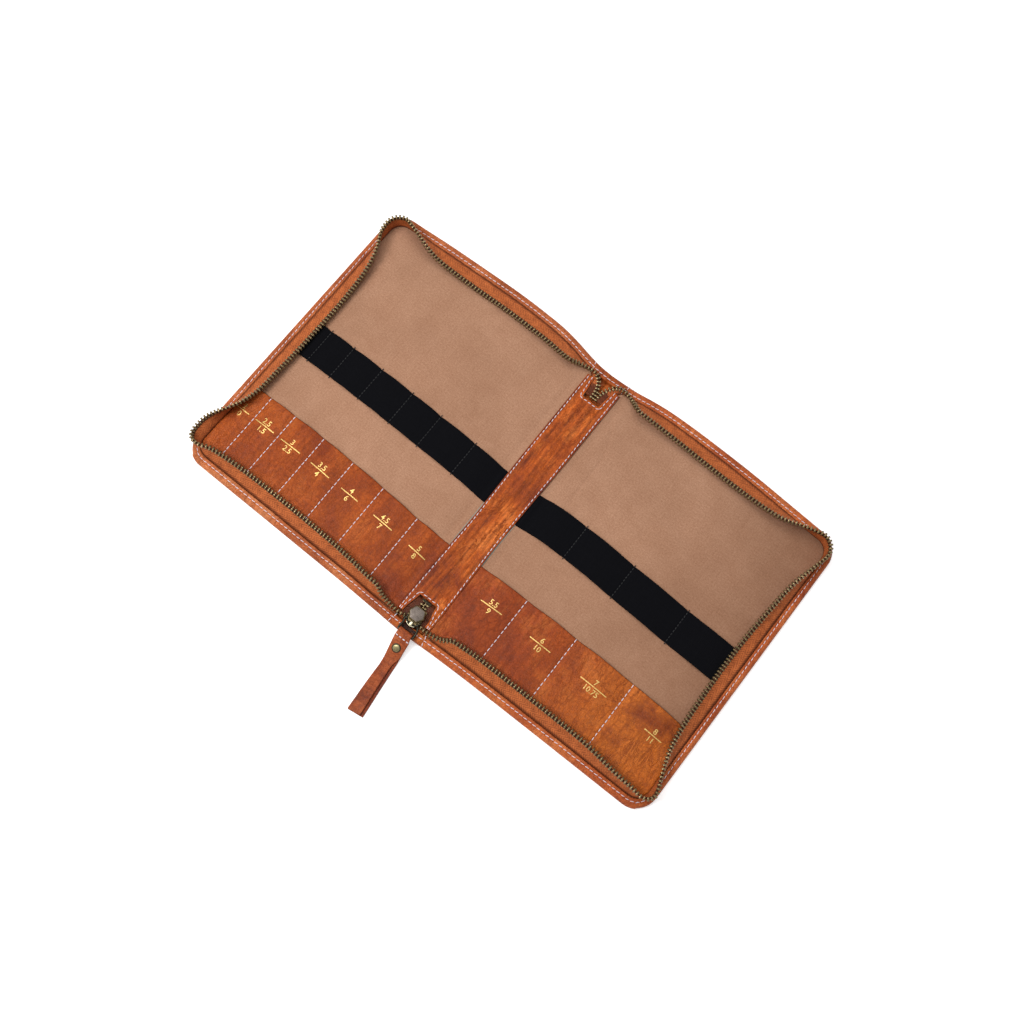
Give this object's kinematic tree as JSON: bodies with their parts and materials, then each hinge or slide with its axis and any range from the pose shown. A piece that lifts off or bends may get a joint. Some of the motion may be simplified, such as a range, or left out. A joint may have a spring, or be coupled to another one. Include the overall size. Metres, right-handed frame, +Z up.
{
  "type": "knitting needle case",
  "caption": "Leather zip-round case for knitting needles, lying open: lined halves with pocket panels and elastic straps, folding at the spine, with zip slider and pull tab.",
  "frame": {"origin": "on the table under the middle of the spine, at the underside of the outer leather", "axes": "+X to the right half with the wide pockets, +Y along the spine to the joined end of the zip, +Z up out of the open case"},
  "size_m": [0.363, 0.2753, 0.0161],
  "materials": {
    "cover_leather": "smooth pull-up leather, light sheen",
    "spine_leather": "smooth pull-up leather, light sheen",
    "pocket_leather": "smooth pull-up leather with foil size marks",
    "board": "matt grey board, hidden",
    "lining": "plain tan cotton weave",
    "elastic": "matt black woven elastic",
    "zip_tape": "herringbone zip tape",
    "zip_metal": "antique brass, dull",
    "slider_metal": "antique brass, worn and dark"
  },
  "bodies": {
    "left_half": {"left_cover": "cover_leather", "left_board": "board", "left_lining": "lining", "left_pockets": "pocket_leather", "left_elastic": "elastic", "left_tape": "zip_tape", "left_teeth": "zip_metal"},
    "spine": {"spine_cover": "cover_leather", "spine_board": "board", "spine_strip": "spine_leather", "bottom_tape": "zip_tape", "bottom_teeth": "zip_metal", "bottom_stop": "zip_metal", "top_tape": "zip_tape", "top_teeth": "zip_metal"},
    "right_half": {"right_cover": "cover_leather", "right_board": "board", "right_lining": "lining", "right_pockets": "pocket_leather", "right_elastic": "elastic", "right_tape": "zip_tape", "right_teeth": "zip_metal"},
    "slider": {"slider_body": "slider_metal", "slider_cap": "slider_metal"},
    "bail": {"bail": "zip_metal"},
    "tab": {"pull_tab": "cover_leather", "tab_rivet": "zip_metal"}
  },
  "joints": [
    {"name": "left_fold", "type": "hinge", "parent": "left_half", "child": "spine", "pos_m": [-0.015, 0, 0.0014], "axis": [0, -1, 0], "range_deg": [0, 90]},
    {"name": "right_fold", "type": "hinge", "parent": "spine", "child": "right_half", "pos_m": [0.015, 0, 0.0014], "axis": [0, -1, 0], "range_deg": [0, 90]},
    {"name": "slider_run", "type": "slide", "parent": "spine", "child": "slider", "axis": [0, 1, 0], "range_m": [0, 0.004]},
    {"name": "bail_swing", "type": "hinge", "parent": "slider", "child": "bail", "pos_m": [0, -0.10135, 0.0074], "axis": [1, 0, 0], "range_deg": [-100, 0]},
    {"name": "tab_swing", "type": "hinge", "parent": "bail", "child": "tab", "pos_m": [0, -0.10945, 0.0077], "axis": [1, 0, 0], "range_deg": [-60, 0]}
  ]
}
